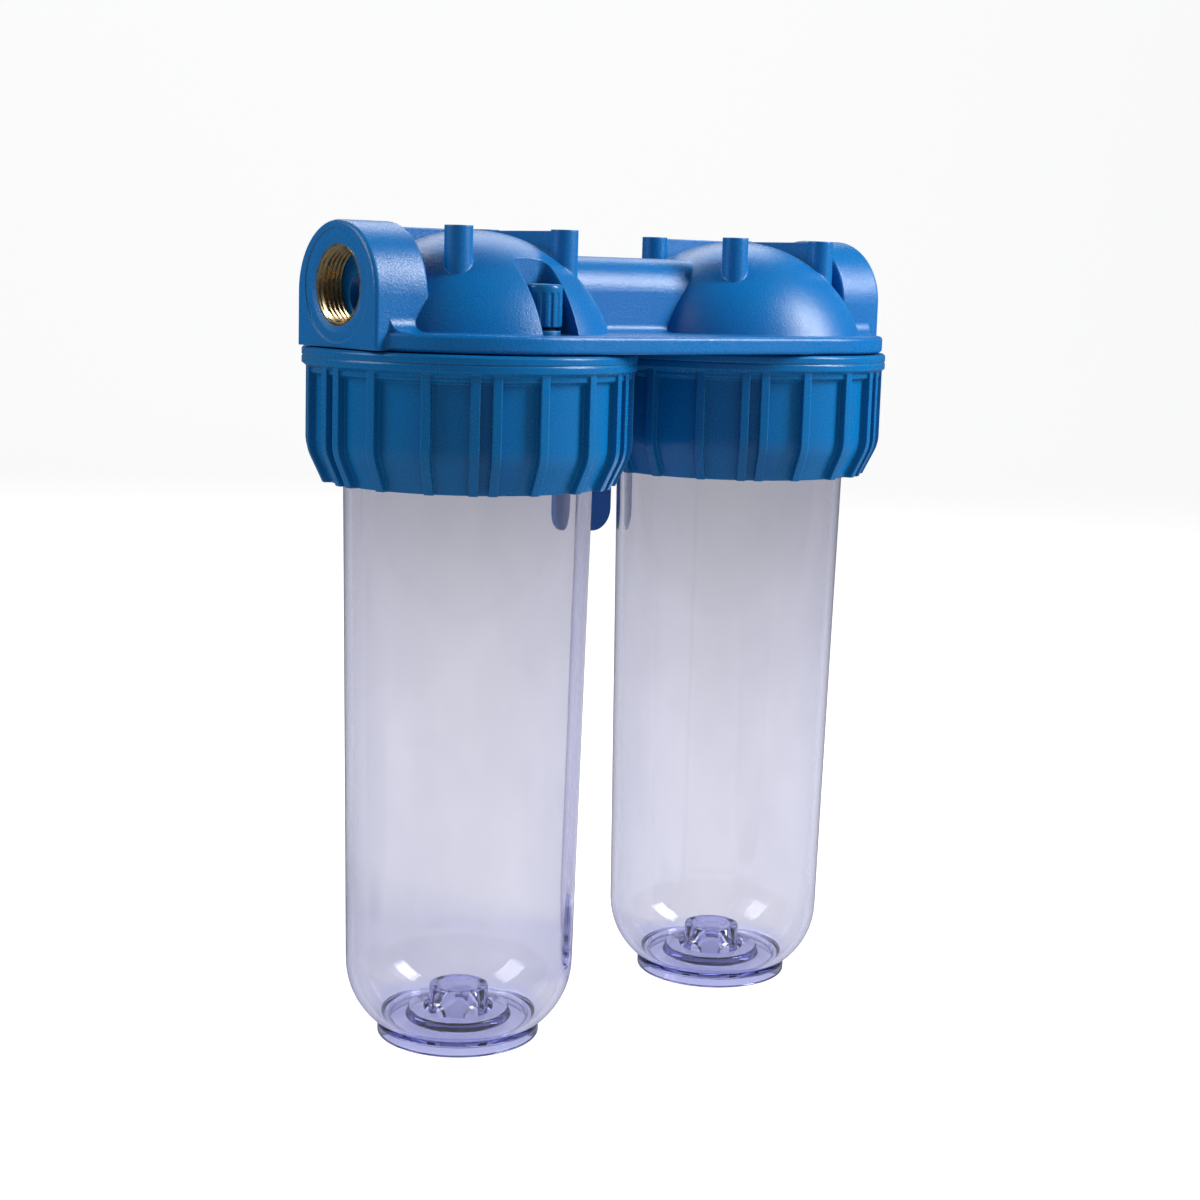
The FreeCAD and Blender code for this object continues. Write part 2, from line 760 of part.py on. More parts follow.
def make_ring_nut(side, turn):
    """A union nut: collar, panelled wall, grip ribs in sets of four, and a female thread."""
    body = doc.addObject("PartDesign::Body", f"{side}_ring_nut_body")
    profile = body_sketch(body, f"{side}_nut_profile", "XZ_Plane")
    outline(profile, [
        ("dim.nut_bore", "dim.nut_top"),
        ("dim.collar_lip", "dim.nut_top"),
        ("dim.collar_radius", "dim.nut_top - 0.8"),
        ("dim.collar_radius", "dim.collar_groove_z + dim.collar_groove_half"),
        ("dim.collar_groove", "dim.collar_groove_z"),
        ("dim.collar_radius", "dim.collar_groove_z - dim.collar_groove_half"),
        ("dim.collar_radius", "dim.collar_low_z"),
        ("dim.collar_end_radius", "dim.collar_end"),
        ("dim.ledge_radius", "dim.collar_end - 0.7"),
        ("dim.ledge_radius", "dim.ledge_bottom"),
        ("dim.rib_radius - dim.panel_depth", "dim.panel_top"),
        ("dim.rib_radius - dim.panel_depth", "dim.bend_start"),
        ("dim.rib_radius - dim.panel_depth - dim.bend_inset", "dim.bend_end"),
        ("dim.rib_end_radius - dim.panel_depth", "dim.nut_bottom"),
        ("dim.nut_mouth", "dim.nut_bottom"),
        ("dim.nut_mouth", "dim.nut_shoulder"),
        ("dim.nut_rim_bore", "dim.nut_shoulder"),
        ("dim.nut_rim_bore", "dim.nut_rim_top"),
        ("dim.nut_bore", "dim.nut_rim_top"),
    ], {11: ("dim.bend_curve", 1)})
    revolve(body, f"{side}_nut_wall", profile)
    ribs = []
    for number, angle in enumerate(RIB_ANGLES, start=1):
        rib = body_sketch(body, f"{side}_rib_profile_{number}", "XZ_Plane", angle)
        outline(rib, [
            ("dim.rib_inside", "dim.collar_end + 0.5"),
            ("dim.rib_radius", "dim.collar_end + 0.5"),
            ("dim.rib_radius", "dim.bend_start"),
            ("dim.rib_radius - dim.bend_inset", "dim.bend_end"),
            ("dim.rib_end_radius", "dim.nut_bottom"),
            ("dim.rib_end_radius - dim.panel_depth - 1", "dim.nut_bottom"),
            ("dim.rib_inside", "dim.bend_start"),
        ], {2: ("dim.bend_curve", 1)})
        pad = body.newObject("PartDesign::Pad", f"{side}_rib_{number}")
        pad.Profile = rib
        pad.SideType = "Symmetric"
        bind(pad, Length="dim.rib_width")
        ribs.append(pad)
    doc.recompute()
    polar_pattern(body, f"{side}_ribs", ribs, RIB_PERIODS)
    doc.recompute()
    thread = body_sketch(body, f"{side}_nut_thread_profile", "XZ_Plane")
    outer = "dim.nut_bore + dim.thread_bite"
    middle = "dim.thread_start + dim.thread_pitch / 2"
    outline(thread, [
        (outer, f"{middle} - dim.thread_root_width / 2"),
        (outer, f"{middle} + dim.thread_root_width / 2"),
        ("dim.nut_thread_crest", f"{middle} + dim.thread_crest_width / 2"),
        ("dim.nut_thread_crest", f"{middle} - dim.thread_crest_width / 2"),
    ])
    ridge = body.newObject("PartDesign::AdditiveHelix", f"{side}_nut_thread")
    ridge.Profile = thread
    ridge.ReferenceAxis = (origin_feature(body, "Z_Axis"), [""])
    ridge.Mode = "pitch-height-angle"
    bind(ridge, Pitch="dim.thread_pitch", Height="dim.nut_thread_rise")
    body.Tip = ridge
    place(body, AXES[side], 0, 0, FreeCAD.Rotation(Z, turn))
    keep(f"{side}_ring_nut", body)


# ---------------------------------------------------------------- bowls

def make_bowl(side):
    """A clear bowl: sealing plug, rim, tapered wall, round shoulder, foot ring and slotted cup."""
    profile = doc.addObject("Sketcher::SketchObject", f"{side}_bowl_profile")
    outline(profile, [
        ("dim.bowl_mouth", "dim.plug_top"),
        ("dim.plug_radius - dim.plug_chamfer", "dim.plug_top"),
        ("dim.plug_radius", "dim.plug_top - dim.plug_chamfer"),
        ("dim.plug_radius", "dim.gland_top"),
        ("dim.gland_floor", "dim.gland_top"),
        ("dim.gland_floor", "dim.gland_bottom"),
        ("dim.plug_radius", "dim.gland_bottom"),
        ("dim.plug_radius", "dim.rim_top"),
        ("dim.rim_radius", "dim.rim_top"),
        ("dim.rim_radius", "dim.rim_bottom"),
        ("dim.bowl_neck", "dim.rim_bottom"),
        ("dim.bowl_belly", "dim.belly_z"),
        ("dim.shoulder_radius", "dim.shoulder_z"),
        ("dim.foot_radius", "dim.foot_neck_z"),
        ("dim.foot_radius", "dim.foot_bottom + dim.foot_chamfer"),
        ("dim.foot_radius - dim.foot_chamfer", "dim.foot_bottom"),
        ("dim.foot_inner", "dim.foot_bottom"),
        ("dim.foot_inner - 0.6", "dim.bowl_underside"),
        ("0", "dim.bowl_underside"),
        ("0", "dim.bowl_floor"),
        ("dim.cup_bore", "dim.bowl_floor"),
        ("dim.cup_bore - 0.3", "dim.cup_top"),
        ("dim.cup_radius - 0.4", "dim.cup_top"),
        ("dim.cup_radius", "dim.bowl_floor"),
        ("dim.base_ring_inner", "dim.bowl_floor"),
        ("dim.base_ring_inner + 0.8", "dim.base_ring_top"),
        ("dim.base_ring_radius - 1.4", "dim.base_ring_top"),
        ("dim.base_ring_radius", "dim.base_ring_top - 1.2"),
        ("dim.base_ring_radius + 0.4", "dim.bowl_floor"),
        ("dim.inside_shoulder - 3", "dim.bowl_floor"),
        ("dim.inside_shoulder - 2.4", "dim.bowl_floor + 0.8"),
        ("dim.inside_shoulder", "dim.bowl_floor + 1.2"),
        ("dim.bowl_inside_low", "dim.belly_z"),
    ], {11: ("dim.shoulder_curve", 1), 31: ("dim.inside_curve", -1)})
    place(profile, rotation=FreeCAD.Rotation(X, 90))
    wall = doc.addObject("Part::Revolution", f"{side}_bowl_wall")
    wall.Source = profile
    wall.Axis = Z
    wall.Angle = 360.0
    wall.Solid = True
    bowl = cut(f"{side}_bowl_cut", wall, cup_arches(side))
    place(bowl, AXES[side], 0, 0)
    keep(f"{side}_bowl", bowl)


def cup_arches(side):
    """Two crossing arched tunnels, which leave four openings at the foot of the cup."""
    half_length = "(dim.base_ring_inner - 0.1)"
    tunnels = []
    for name, way, y_turn in (("through", Y, 0), ("across", X, 90)):
        crown = cylinder(
            f"{side}_{name}_crown", "dim.cup_arch", f"2 * {half_length}",
            f"-{half_length}" if way == X else 0, f"-{half_length}" if way == Y else 0,
            "dim.bowl_floor + dim.cup_arch", way,
        )
        along, beside = f"2 * {half_length}", "2 * dim.cup_arch"
        if way == X:
            base = box(f"{side}_{name}_base", along, beside, "dim.cup_arch",
                       f"-{half_length}", "-dim.cup_arch", "dim.bowl_floor")
        else:
            base = box(f"{side}_{name}_base", beside, along, "dim.cup_arch",
                       "-dim.cup_arch", f"-{half_length}", "dim.bowl_floor")
        tunnels += [crown, base]
    return fuse(f"{side}_cup_tunnels", tunnels)


def make_bowl_seal(side):
    ring = doc.addObject("Part::Torus", f"{side}_bowl_ring")
    bind(ring, Radius1="dim.gland_floor + dim.seal_section + 0.01", Radius2="dim.seal_section")
    place(ring, AXES[side], 0, "(dim.gland_top + dim.gland_bottom) / 2")
    keep(f"{side}_bowl_seal", ring)


# ---------------------------------------------------------------- bleed screw

def make_vent_screw():
    """A fluted knob on a threaded shank."""
    body = doc.addObject("PartDesign::Body", "vent_screw_body")
    profile = body_sketch(body, "vent_profile", "XZ_Plane")
    outline(profile, [
        ("0", "dim.knob_top"),
        ("dim.knob_radius - dim.knob_round", "dim.knob_top"),
        ("dim.knob_radius", "dim.knob_top - dim.knob_round"),
        ("dim.knob_radius", "dim.knob_bottom + 0.4"),
        ("dim.knob_radius - 0.4", "dim.knob_bottom"),
        ("dim.vent_root", "dim.knob_bottom"),
        ("dim.vent_root", "dim.vent_tip + 1"),
        ("dim.vent_root - 1", "dim.vent_tip"),
        ("0", "dim.vent_tip"),
    ], {1: ("dim.knob_round * 1.0001", 1)})
    revolve(body, "vent_turned", profile)
    doc.recompute()
    flute_sketch = body_sketch(body, "flute_profile", "XY_Plane")
    flute_sketch.setExpression("AttachmentOffset.Base.z", "dim.flute_top")
    circle = flute_sketch.addGeometry(Part.Circle(FreeCAD.Vector(), Z, size("flute_radius")), False)
    reach = "dim.knob_radius + dim.flute_radius * 0.55"
    flute_sketch.addConstraint([
        Sketcher.Constraint("DistanceX", -1, 1, circle, 3, size("knob_radius")),
        Sketcher.Constraint("PointOnObject", circle, 3, -1),
        Sketcher.Constraint("Radius", circle, size("flute_radius")),
    ])
    flute_sketch.setExpression("Constraints[0]", reach)
    flute_sketch.setExpression("Constraints[2]", "dim.flute_radius")
    flute = body.newObject("PartDesign::Pocket", "flute")
    flute.Profile = flute_sketch
    bind(flute, Length="dim.flute_top - dim.knob_bottom + 1")
    doc.recompute()
    polar_pattern(body, "flutes", [flute], KNOB_FLUTES)
    doc.recompute()
    thread = body_sketch(body, "vent_thread_profile", "XZ_Plane")
    low = "dim.vent_tip + 1.6"
    outline(thread, [
        ("dim.vent_root - 0.3", f"{low} - 0.5"),
        ("dim.vent_crest", f"{low} - 0.15"),
        ("dim.vent_crest", f"{low} + 0.15"),
        ("dim.vent_root - 0.3", f"{low} + 0.5"),
    ])
    ridge = body.newObject("PartDesign::AdditiveHelix", "vent_thread")
    ridge.Profile = thread
    ridge.ReferenceAxis = (origin_feature(body, "Z_Axis"), [""])
    ridge.Mode = "pitch-height-angle"
    bind(ridge, Pitch="dim.vent_pitch", Height="5 * dim.vent_pitch")
    body.Tip = ridge
    place(body, f"{AXES['left']} + dim.vent_x", "dim.vent_y", 0)
    keep("vent_screw", body)


def make_vent_seal():
    ring = doc.addObject("Part::Torus", "vent_ring")
    bind(ring, Radius1="dim.vent_ring_mid", Radius2="dim.vent_ring_section")
    place(
        ring, f"{AXES['left']} + dim.vent_x", "dim.vent_y",
        "(dim.knob_bottom + dim.vent_collar_top) / 2",
    )
    keep("vent_seal", ring)


# ---------------------------------------------------------------- wall bracket and fasteners

def make_bracket():
    """A moulded bracket: foot on the flange, bar against the wall, gussets, and a hanging tail."""
    thickness = "dim.bracket_thickness"
    foot = box(
        "bracket_foot", "2 * dim.foot_half_width", "dim.wall_y - dim.foot_front", thickness,
        f"{MIDDLE} - dim.foot_half_width", "dim.foot_front", "dim.flange_top",
    )
    bar = box(
        "bracket_bar", "2 * dim.bar_half_width", thickness, "dim.bar_top - dim.bar_bottom",
        f"{MIDDLE} - dim.bar_half_width", f"dim.wall_y - {thickness}", "dim.bar_bottom",
    )

    def bar_corner(edge):
        return edge.BoundBox.YLength > 4 and edge.BoundBox.XLength < 0.01
    bar = round_edges("bracket_bar_rounded", bar, size("bar_corner"), bar_corner)
    tail = box(
        "bracket_tail", "2 * dim.tail_radius", thickness, "dim.bar_top - dim.tail_centre - 10",
        f"{MIDDLE} + dim.tail_x - dim.tail_radius", f"dim.wall_y - {thickness}", "dim.tail_centre",
    )
    tail_end = cylinder(
        "bracket_tail_end", "dim.tail_radius", thickness,
        f"{MIDDLE} + dim.tail_x", f"dim.wall_y - {thickness}", "dim.tail_centre", Y,
    )
    gussets = []
    for name, sign in (("left", -1), ("right", 1)):
        gusset = doc.addObject("Part::Wedge", f"bracket_gusset_{name}")
        bind(
            gusset, Xmin=0.0, Xmax="dim.wall_y - dim.foot_front - 12", X2min=0.0, X2max=2.0,
            Ymin=0.0, Ymax="dim.gusset_height", Zmin=0.0, Zmax=4.0, Z2min=0.0, Z2max=4.0,
        )
        towards_front = FreeCAD.Rotation(Y * -1, Z, X * -1, "ZXY")
        place(
            gusset, f"{MIDDLE} + {sign} * dim.gusset_spread + 2", "dim.wall_y - 1",
            f"dim.flange_top + {thickness} - 1", towards_front,
        )
        gussets.append(gusset)
    solid = fuse("bracket_solid", [foot, bar, tail, tail_end] + gussets)
    holes = [
        cylinder(
            f"bracket_hole_{name}", "dim.clearance_hole", "dim.bracket_thickness + 2",
            x, "dim.screw_y", "dim.flange_top - 1",
        )
        for name, x in stud_places()
    ]
    holes.append(cylinder(
        "tail_hole", "dim.tail_hole", "dim.bracket_thickness + 2",
        f"{MIDDLE} + dim.tail_x", f"dim.wall_y - {thickness} - 1", "dim.tail_hole_z", Y,
    ))
    for name, sign in (("left", -1), ("right", 1)):
        holes += wall_slot(f"wall_slot_{name}", f"{MIDDLE} + {sign} * dim.slot_spread")
    keep("wall_bracket", cut("bracket", solid, fuse("bracket_holes", holes)))


def wall_slot(name, x):
    """A level slot through the bar for a wall screw."""
    depth, front = "dim.bracket_thickness + 2", "dim.wall_y - dim.bracket_thickness - 1"
    half = "(dim.slot_length / 2 - dim.slot_radius)"
    ends = [
        cylinder(
            f"{name}_{label}", "dim.slot_radius", depth,
            f"{x} + {sign} * {half}", front, "dim.slot_height", Y,
        )
        for label, sign in (("near", -1), ("far", 1))
    ]
    between = box(
        f"{name}_middle", f"2 * {half}", depth, "2 * dim.slot_radius",
        f"{x} - {half}", front, "dim.slot_height - dim.slot_radius",
    )
    return ends + [between]


def bracket_screw(name, x, under_head):
    """A socket screw whose head rests on the height called under_head."""
    head = cylinder(
        f"screw_head_{name}", "dim.screw_head_radius", "dim.screw_head_height", x, "dim.screw_y", under_head,
    )
    shank = cylinder(
        f"screw_shank_{name}", "dim.screw_shank", "dim.screw_length",
        x, "dim.screw_y", f"{under_head} - dim.screw_length",
    )
    blank = fuse(f"screw_blank_{name}", [head, shank])
    rounded = round_edges(
        f"screw_rounded_{name}", blank, size("screw_head_round"),
        lambda edge: flat_at(edge, "Z", blank.Shape.BoundBox.ZMax),
    )
    socket = doc.addObject("Part::Prism", f"screw_socket_{name}")
    socket.Polygon = 6
    bind(socket, Circumradius="dim.screw_socket * 2 / sqrt(3)", Height="dim.screw_socket_depth + 1")
    place(socket, x, "dim.screw_y", f"{under_head} + dim.screw_head_height - dim.screw_socket_depth")
    return cut(f"screw_{name}", rounded, socket)


def tube(name, radius, bore, length, x, bottom):
    """An upright ring on the line of the bracket's screws."""
    outside = cylinder(f"{name}_outside", radius, length, x, "dim.screw_y", bottom)
    inside = cylinder(f"{name}_inside", bore, f"{length} + 2", x, "dim.screw_y", f"{bottom} - 1")
    return cut(name, outside, inside)


def make_bracket_fasteners():
    """Two screws with washers, and the brass inserts in the flange that they screw into."""
    top = "dim.flange_top + dim.bracket_thickness"
    screws, washers, inserts = [], [], []
    for name, x in stud_places():
        screws.append(bracket_screw(name, x, f"{top} + dim.washer_thickness"))
        washers.append(tube(
            f"washer_{name}", "dim.washer_radius", "dim.clearance_hole", "dim.washer_thickness", x, top,
        ))
        inserts.append(tube(
            f"stud_insert_{name}", "dim.stud_insert_radius", "dim.stud_insert_bore", "dim.stud_insert_depth",
            x, "dim.flange_top - dim.stud_insert_depth",
        ))
    groups = {"bracket_screws": screws, "bracket_washers": washers, "bracket_inserts": inserts}
    for label, group in groups.items():
        both = doc.addObject("Part::Compound", f"{label}_group")
        both.Links = group
        keep(label, both)


# ---------------------------------------------------------------- build, check and write

def check_document():
    doc.recompute()
    faults = [f"{thing.Name}: {thing.State}" for thing in doc.Objects
              if "Invalid" in thing.State or "Error" in thing.State]
    for label, thing in nodes.items():
        if thing.Shape.isNull() or not thing.Shape.isValid():
            faults.append(f"{label}: shape is null or not valid")
        else:
            print(f"{label}: {len(thing.Shape.Solids)} solid(s), {thing.Shape.Volume / 1000:.2f} cm3")
    if faults:
        raise SystemExit("\n".join(faults))


def write_parts():
    os.makedirs("parts", exist_ok=True)
    for label, thing in nodes.items():
        thing.Shape.exportStep(os.path.join("parts", f"{label}.step"))


make_head()
for port in PORTS:
    make_port_insert(*port)
    make_port_seal(*port)
for housing, nut_turn in (("left", LEFT_NUT_TURN), ("right", RIGHT_NUT_TURN)):
    make_ring_nut(housing, nut_turn)
    make_bowl(housing)
    make_bowl_seal(housing)
make_vent_screw()
make_vent_seal()
make_bracket()
make_bracket_fasteners()
check_document()
write_parts()
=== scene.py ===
"""Duplex cartridge filter housing: materials, fine detail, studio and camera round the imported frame."""
import json
import math
import bpy
import bmesh
from mathutils import Vector, Matrix


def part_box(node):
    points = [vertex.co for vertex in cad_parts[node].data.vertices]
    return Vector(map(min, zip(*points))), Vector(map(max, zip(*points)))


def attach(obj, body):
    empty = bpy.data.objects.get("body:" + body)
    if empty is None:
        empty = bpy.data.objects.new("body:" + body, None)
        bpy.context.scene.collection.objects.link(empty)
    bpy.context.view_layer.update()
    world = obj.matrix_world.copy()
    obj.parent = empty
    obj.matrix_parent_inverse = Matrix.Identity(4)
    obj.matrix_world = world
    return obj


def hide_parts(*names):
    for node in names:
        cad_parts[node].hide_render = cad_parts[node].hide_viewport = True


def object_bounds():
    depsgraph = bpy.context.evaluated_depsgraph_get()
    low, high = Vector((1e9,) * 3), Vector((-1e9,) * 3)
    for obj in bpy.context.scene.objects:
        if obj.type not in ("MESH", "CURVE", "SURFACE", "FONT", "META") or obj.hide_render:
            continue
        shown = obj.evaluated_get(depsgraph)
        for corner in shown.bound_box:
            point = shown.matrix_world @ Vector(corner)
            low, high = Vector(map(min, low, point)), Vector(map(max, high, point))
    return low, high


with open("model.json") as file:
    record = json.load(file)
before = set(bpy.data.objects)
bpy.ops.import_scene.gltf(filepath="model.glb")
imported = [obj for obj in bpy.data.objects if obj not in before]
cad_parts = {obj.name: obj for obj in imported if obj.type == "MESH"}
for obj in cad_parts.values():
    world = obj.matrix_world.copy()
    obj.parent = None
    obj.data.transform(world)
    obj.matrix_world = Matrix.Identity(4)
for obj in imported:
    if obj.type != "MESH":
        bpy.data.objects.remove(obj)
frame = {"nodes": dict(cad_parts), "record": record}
cad_low, cad_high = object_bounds()
scene = bpy.context.scene
MM = 0.001
FULL_TURN = 2 * math.pi


# ------------------------------------------------------------------ node helpers

class Graph:
    """A small wrapper that builds a material's node tree."""

    def __init__(self, name):
        self.material = bpy.data.materials.new(name)
        self.material.use_nodes = True
        self.tree = self.material.node_tree
        self.tree.nodes.clear()
        self.output = self.tree.nodes.new("ShaderNodeOutputMaterial")
        self.coords = self.node("ShaderNodeTexCoord").outputs["Object"]

    def node(self, kind, **settings):
        made = self.tree.nodes.new(kind)
        for key, value in settings.items():
            setattr(made, key, value)
        return made

    def feed(self, socket, value):
        """Link a socket, or set a plain value, on an input."""
        if isinstance(value, bpy.types.NodeSocket):
            self.tree.links.new(value, socket)
        else:
            socket.default_value = value

    def noise(self, scale, detail, roughness, stretch=(1, 1, 1)):
        mapping = self.node("ShaderNodeMapping")
        self.feed(mapping.inputs["Vector"], self.coords)
        mapping.inputs["Scale"].default_value = stretch
        made = self.node("ShaderNodeTexNoise")
        self.feed(made.inputs["Vector"], mapping.outputs[0])
        made.inputs["Scale"].default_value = scale
        made.inputs["Detail"].default_value = detail
        made.inputs["Roughness"].default_value = roughness
        return made.outputs["Fac"]

    def remap(self, value, low, high, new_low, new_high):
        made = self.node("ShaderNodeMapRange")
        self.feed(made.inputs["Value"], value)
        self.feed(made.inputs["From Min"], low)
        self.feed(made.inputs["From Max"], high)
        self.feed(made.inputs["To Min"], new_low)
        self.feed(made.inputs["To Max"], new_high)
        return made.outputs[0]

    def math(self, operation, first, second):
        made = self.node("ShaderNodeMath", operation=operation)
        self.feed(made.inputs[0], first)
        self.feed(made.inputs[1], second)
        return made.outputs[0]

    def mix(self, factor, first, second):
        made = self.node("ShaderNodeMix", data_type="RGBA")
        self.feed(made.inputs["Factor"], factor)
        self.feed(made.inputs["A"], first)
        self.feed(made.inputs["B"], second)
        return made.outputs["Result"]

    def bump(self, height, strength, distance, normal=None):
        made = self.node("ShaderNodeBump")
        self.feed(made.inputs["Height"], height)
        made.inputs["Strength"].default_value = strength
        made.inputs["Distance"].default_value = distance
        if normal is not None:
            self.feed(made.inputs["Normal"], normal)
        return made.outputs[0]

    def edges(self, radius):
        """(edge mask from 0 to 1, rounded normal) from a bevelled normal."""
        bevel = self.node("ShaderNodeBevel", samples=6)
        bevel.inputs["Radius"].default_value = radius
        geometry = self.node("ShaderNodeNewGeometry")
        dot = self.node("ShaderNodeVectorMath", operation="DOT_PRODUCT")
        self.feed(dot.inputs[0], bevel.outputs[0])
        self.feed(dot.inputs[1], geometry.outputs["Normal"])
        flat, sharp = 0.995, 0.80
        return self.remap(dot.outputs["Value"], flat, sharp, 0.0, 1.0), bevel.outputs[0]

    def principled(self, **inputs):
        made = self.node("ShaderNodeBsdfPrincipled")
        for key, value in inputs.items():
            self.feed(made.inputs[key.replace("_", " ")], value)
        return made.outputs[0]

    def finish(self, shader, volume=None):
        self.feed(self.output.inputs["Surface"], shader)
        if volume is not None:
            self.feed(self.output.inputs["Volume"], volume)
        return self.material


def rgb(red, green, blue):
    return (red, green, blue, 1.0)


# ------------------------------------------------------------------ materials

PLASTIC_IOR = 1.49

# Heights in metres between which the bowls' floor takes its deeper tint.
TINT_STARTS, TINT_FULL = -0.2700, -0.2735


def moulded_plastic(name, colour, edge_highlight_colour, roughness, grain, grain_scale, edge_radius):
    """Moulded polypropylene: fine spark-eroded grain with painted glints, faint flow clouds, and edges
    painted paler as a painted highlight.
    """
    darker, lighter, lift, grain_depth = 0.8, 1.25, 0.012, 0.00025
    graph = Graph(name)
    speckle = graph.noise(grain_scale, 3.0, 0.65)
    cloud = graph.noise(28.0, 4.0, 0.55)
    edge, rounded_normal = graph.edges(edge_radius)
    patchy = graph.remap(graph.noise(120.0, 2.0, 0.5), 0.30, 0.70, 0.6, 1.0)
    clouded = rgb(*[c * darker for c in colour])
    painted_glint_colour = rgb(*[min(1, c * lighter + lift) for c in colour])
    tint = graph.mix(graph.remap(cloud, 0.3, 0.7, 0.0, 0.35), rgb(*colour), clouded)
    # painted glints: the grain's specks are lightened in the base colour
    glint_speckled_tint = graph.mix(graph.remap(speckle, 0.52, 0.75, 0.0, 0.22), tint, painted_glint_colour)
    # painted highlight: the paler edge colour is mixed in along edges, in patches
    edge_highlight_mask = graph.math("MULTIPLY", edge, graph.math("MULTIPLY", patchy, 0.45))
    base = graph.mix(edge_highlight_mask, glint_speckled_tint, rgb(*edge_highlight_colour))
    rough = graph.math(
        "ADD",
        graph.remap(speckle, 0.3, 0.7, roughness - 0.07, roughness + 0.08),
        graph.remap(cloud, 0.35, 0.65, -0.03, 0.03),
    )
    normal = graph.bump(speckle, grain, grain_depth, rounded_normal)
    return graph.finish(graph.principled(
        Base_Color=base, Roughness=rough, Normal=normal, IOR=PLASTIC_IOR, Specular_IOR_Level=0.42,
    ))


def clear_plastic(name):
    """Clear bowl with a grey-violet cast that deepens where the plastic is thick."""
    graph = Graph(name)
    ripple = graph.noise(60.0, 2.0, 0.5, stretch=(1, 1, 0.25))
    smear = graph.noise(420.0, 3.0, 0.6)
    haze = graph.noise(35.0, 4.0, 0.6, stretch=(1, 1, 0.5))
    hazy = graph.remap(haze, 0.35, 0.7, 0.0, 1.0)
    cast = graph.mix(hazy, rgb(0.915, 0.910, 0.915), rgb(0.86, 0.855, 0.875))
    split = graph.node("ShaderNodeSeparateXYZ")
    graph.feed(split.inputs[0], graph.coords)
    thick = graph.remap(split.outputs["Z"], TINT_STARTS, TINT_FULL, 0.0, 1.0)
    cast = graph.mix(thick, cast, rgb(0.72, 0.74, 0.90))
    normal = graph.bump(ripple, 0.05, 0.0006)
    rough = graph.remap(smear, 0.35, 0.75, 0.0, 0.05)
    glass = graph.principled(
        Base_Color=cast, Roughness=rough, IOR=PLASTIC_IOR, Transmission_Weight=1.0, Normal=normal,
    )
    clear = graph.node("ShaderNodeBsdfTransparent")
    clear.inputs["Color"].default_value = rgb(0.9, 0.9, 0.95)
    path = graph.node("ShaderNodeLightPath")
    soft_rays = graph.math("MAXIMUM", path.outputs["Is Shadow Ray"], path.outputs["Is Diffuse Ray"])
    both = graph.node("ShaderNodeMixShader")
    graph.feed(both.inputs[0], soft_rays)
    graph.feed(both.inputs[1], glass)
    graph.feed(both.inputs[2], clear.outputs[0])
    absorb = graph.node("ShaderNodeVolumeAbsorption")
    absorb.inputs["Color"].default_value = rgb(0.14, 0.18, 0.80)
    absorb.inputs["Density"].default_value = 34.0
    return graph.finish(both.outputs[0], absorb.outputs[0])


def turned_brass(name):
    """Turned brass with fine tool rings about the port axis and darker stains in random patches."""
    graph = Graph(name)
    streak = graph.noise(900.0, 2.0, 0.6, stretch=(6, 0.4, 0.4))
    stain = graph.noise(160.0, 4.0, 0.6)
    stained = graph.remap(stain, 0.4, 0.7, 0.0, 0.7)
    base = graph.mix(stained, rgb(0.78, 0.62, 0.36), rgb(0.46, 0.33, 0.16))
    rough = graph.remap(streak, 0.3, 0.7, 0.18, 0.36)
    normal = graph.bump(streak, 0.25, 0.0001)
    return graph.finish(graph.principled(Base_Color=base, Metallic=1.0, Roughness=rough, Normal=normal))


def nitrile(name):
    """Dull black rubber."""
    graph = Graph(name)
    grain = graph.noise(1500.0, 3.0, 0.6)
    base = graph.mix(
        graph.remap(grain, 0.4, 0.7, 0.0, 1.0), rgb(0.008, 0.008, 0.009), rgb(0.022, 0.022, 0.024),
    )
    rough = graph.remap(grain, 0.3, 0.7, 0.4, 0.6)
    normal = graph.bump(grain, 0.2, 0.0001)
    return graph.finish(graph.principled(Base_Color=base, Roughness=rough, Normal=normal))


def stainless(name):
    """Drawn stainless steel with edges painted brighter as a painted highlight."""
    graph = Graph(name)
    streak = graph.noise(1200.0, 2.0, 0.6, stretch=(1, 1, 0.2))
    edge, rounded_normal = graph.edges(0.0003)
    # painted highlight: edges lightened in the base colour
    base = graph.mix(edge, rgb(0.56, 0.56, 0.55), rgb(0.75, 0.75, 0.74))
    rough = graph.remap(streak, 0.3, 0.7, 0.22, 0.42)
    normal = graph.bump(streak, 0.15, 0.0001, rounded_normal)
    return graph.finish(graph.principled(Base_Color=base, Metallic=1.0, Roughness=rough, Normal=normal))


# Each blue plastic's second colour is a painted edge highlight.
MATERIALS = {
    "head_blue": moulded_plastic(
        "head_grained_blue", colour=(0.0006, 0.140, 0.42), edge_highlight_colour=(0.13, 0.36, 0.66),
        roughness=0.30, grain=0.5, grain_scale=1400.0, edge_radius=0.0008,
    ),
    "nut_blue": moulded_plastic(
        "nut_smooth_blue", colour=(0.0005, 0.135, 0.38), edge_highlight_colour=(0.05, 0.30, 0.60),
        roughness=0.25, grain=0.06, grain_scale=2200.0, edge_radius=0.0008,
    ),
    "bracket_blue": moulded_plastic(
        "bracket_blue", colour=(0.002, 0.125, 0.41), edge_highlight_colour=(0.10, 0.30, 0.58),
        roughness=0.45, grain=0.3, grain_scale=1300.0, edge_radius=0.0006,
    ),
    "clear_bowl": clear_plastic("clear_violet_plastic"),
    "brass": turned_brass("turned_brass"),
    "seal_rubber": nitrile("black_nitrile"),
    "stainless": stainless("stainless_steel"),
}


def dress(thing, slot_name):
    thing.data.materials.clear()
    thing.data.materials.append(MATERIALS[slot_name])


for part in frame["record"]["subparts"]:
    dress(frame["nodes"][part["node"]], part["material_slot"])


# ------------------------------------------------------------------ outlines and skins

FILLET_STEPS = 5
ARC_STEPS = 24
LATHE_SEGMENTS = 160


